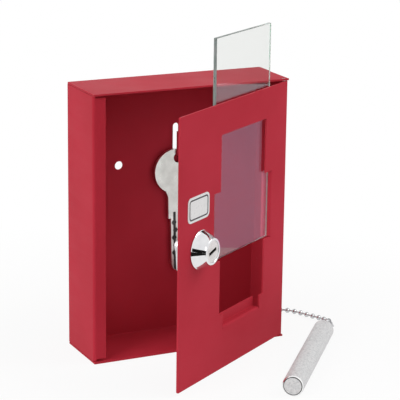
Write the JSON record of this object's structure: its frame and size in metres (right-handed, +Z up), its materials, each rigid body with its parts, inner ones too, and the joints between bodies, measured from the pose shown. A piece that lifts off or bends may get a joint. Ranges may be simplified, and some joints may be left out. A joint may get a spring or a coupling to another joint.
{
  "type": "break-glass key box",
  "caption": "Wall-mounted sheet steel emergency key box with a hinged window door, slide-in glass pane, cam lock, hanging key and a striker rod on a ball chain.",
  "frame": {"origin": "centre of the box's bottom face", "axes": "+Z up, +Y towards the wall behind the box, -Y out of the door side, +X towards the hinge side"},
  "size_m": [0.156, 0.133, 0.1893],
  "materials": {
    "red_paint": "satin red powder coat",
    "glass": "clear float glass with ground edges",
    "chrome": "polished chrome",
    "satin_nickel": "satin nickel",
    "brass": "plain",
    "bright_steel": "zinc plated",
    "nickel_silver": "nickel silver, lightly worn",
    "striker_steel": "turned, bright"
  },
  "bodies": {
    "box": {"box_shell": "red_paint", "hinge_rod": "bright_steel", "ball_chain": "bright_steel", "anchor_clasp": "bright_steel", "anchor_rivet": "bright_steel", "striker_clasp": "bright_steel", "striker_ring": "bright_steel"},
    "door": {"door_panel": "red_paint", "lock_housing": "chrome", "lock_washer": "bright_steel", "lock_nut": "bright_steel"},
    "pane": {"glass_pane": "glass"},
    "plug": {"lock_plug": "satin_nickel", "lock_wafers": "brass", "stop_washer": "bright_steel", "lock_cam": "bright_steel", "cam_washer": "bright_steel", "cam_screw": "bright_steel"},
    "key": {"hanging_key": "nickel_silver"},
    "striker": {"striker_rod": "striker_steel"}
  },
  "joints": [
    {"name": "door_hinge", "type": "hinge", "parent": "box", "child": "door", "pos_m": [0.0576, -0.0179, 0.0774], "axis": [0, 0, 1], "range_deg": [-22, 26]},
    {"name": "pane_slide", "type": "slide", "parent": "door", "child": "pane", "axis": [0, 0, 1], "range_m": [-0.0394, 0.088]},
    {"name": "plug_turn", "type": "hinge", "parent": "door", "child": "plug", "pos_m": [-0.01979, -0.07149, 0.0772], "axis": [0.549, -0.8358, 0], "range_deg": [-90, 0]},
    {"name": "key_swing", "type": "hinge", "parent": "box", "child": "key", "pos_m": [0.0074, 0.0161, 0.10578], "axis": [0, 1, 0], "range_deg": [-35, 35]},
    {"name": "striker_swivel", "type": "hinge", "parent": "box", "child": "striker", "pos_m": [0.08324, -0.03013, 0.006], "axis": [0, 0, 1], "range_deg": [0, 75]}
  ]
}
